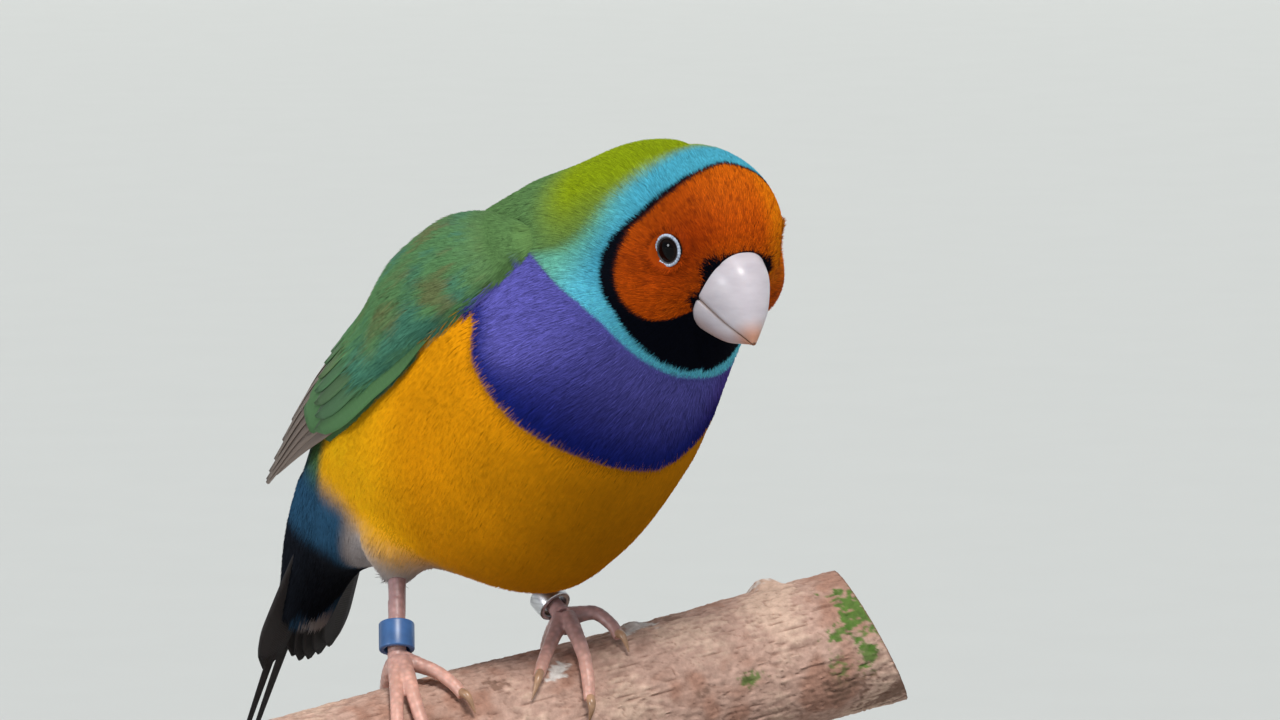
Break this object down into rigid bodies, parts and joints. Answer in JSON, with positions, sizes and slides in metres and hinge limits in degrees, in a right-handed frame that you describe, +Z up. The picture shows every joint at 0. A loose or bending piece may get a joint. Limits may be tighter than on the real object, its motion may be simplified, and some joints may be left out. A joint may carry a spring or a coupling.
{
  "type": "gouldian finch perched on a branch",
  "caption": "Life-size gouldian finch gripping a cut length of branch, head turned and bent, held by a flat round display stand.",
  "frame": {"origin": "centre of the stand base's underside", "axes": "+Z up; the body heads toward -Y, with its right side toward -X"},
  "size_m": [0.0792, 0.0865, 0.0842],
  "materials": {
    "feathers_head": "velvety orange mask with a black border and bib",
    "feathers_neck": "soft turquoise and black feathers",
    "feathers_body": "violet breast, golden belly and green back, soft feathers",
    "horn_beak": "pearly white horn with an orange-red tip",
    "eye": "near-black, wet and glossy",
    "feathers_wing": "green coverts and brownish-grey flight feathers",
    "feathers_tail": "blackish tail feathers under blue and whitish coverts",
    "scaled_skin": "pink scaly skin with horn-coloured claws",
    "ring_blue": "blue plastic, slightly worn",
    "ring_metal": "plain metal",
    "bark": "furrowed pinkish-brown bark with moss",
    "stand_wood": "dark varnished wood",
    "stand_metal": "satin brass"
  },
  "bodies": {
    "root": {"head": "feathers_head", "neck": "feathers_neck", "torso": "feathers_body", "beak_upper": "horn_beak", "beak_lower": "horn_beak", "eye_right": "eye", "eye_left": "eye", "wing_right": "feathers_wing", "wing_left": "feathers_wing", "tail": "feathers_tail", "leg_right": "scaled_skin", "leg_left": "scaled_skin", "ring_right": "ring_blue", "ring_left": "ring_metal", "perch": "bark", "stand_base": "stand_wood", "stand_rod_right": "stand_metal", "stand_rod_left": "stand_metal"}
  },
  "joints": []
}
